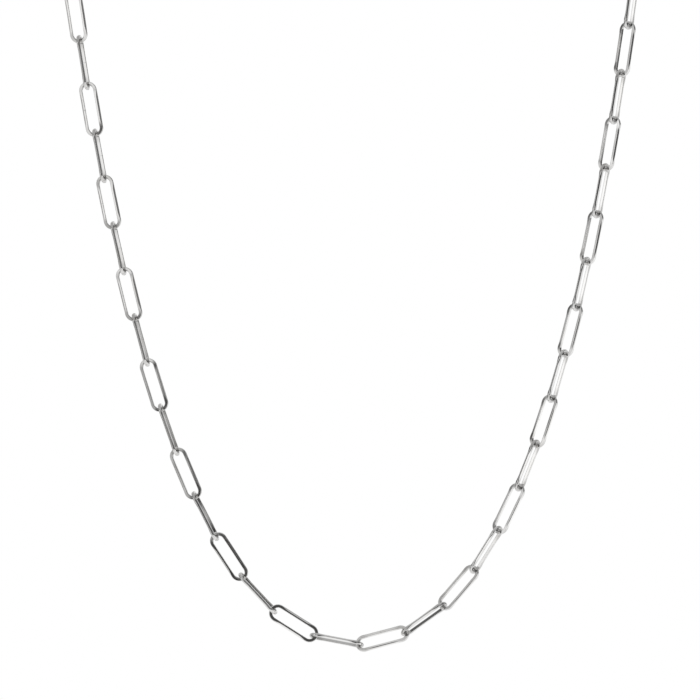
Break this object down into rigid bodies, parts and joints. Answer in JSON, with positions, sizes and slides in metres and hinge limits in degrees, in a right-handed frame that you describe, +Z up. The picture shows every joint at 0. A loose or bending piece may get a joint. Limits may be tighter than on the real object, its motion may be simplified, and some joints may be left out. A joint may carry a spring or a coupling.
{
  "type": "paperclip chain necklace",
  "caption": "Fine silver necklace of long oval links, each turned a quarter against the next, closed by a plain clasp at the nape; it hangs in an open U.",
  "frame": {"origin": "the place at the nape where the chain lies on the neck, on the chain's centre line", "axes": "+Z up, -Y to the wearer's front, +X to the right as the front is seen, which is the wearer's left"},
  "size_m": [0.1155, 0.0226, 0.1643],
  "materials": {
    "chain_silver": "polished sterling silver wire with flat faces and fine wear scratches",
    "clasp_silver": "polished sterling silver casting with softened edges"
  },
  "bodies": {
    "root": {"chain_left": "chain_silver", "chain_right": "chain_silver", "clasp": "clasp_silver"}
  },
  "joints": []
}
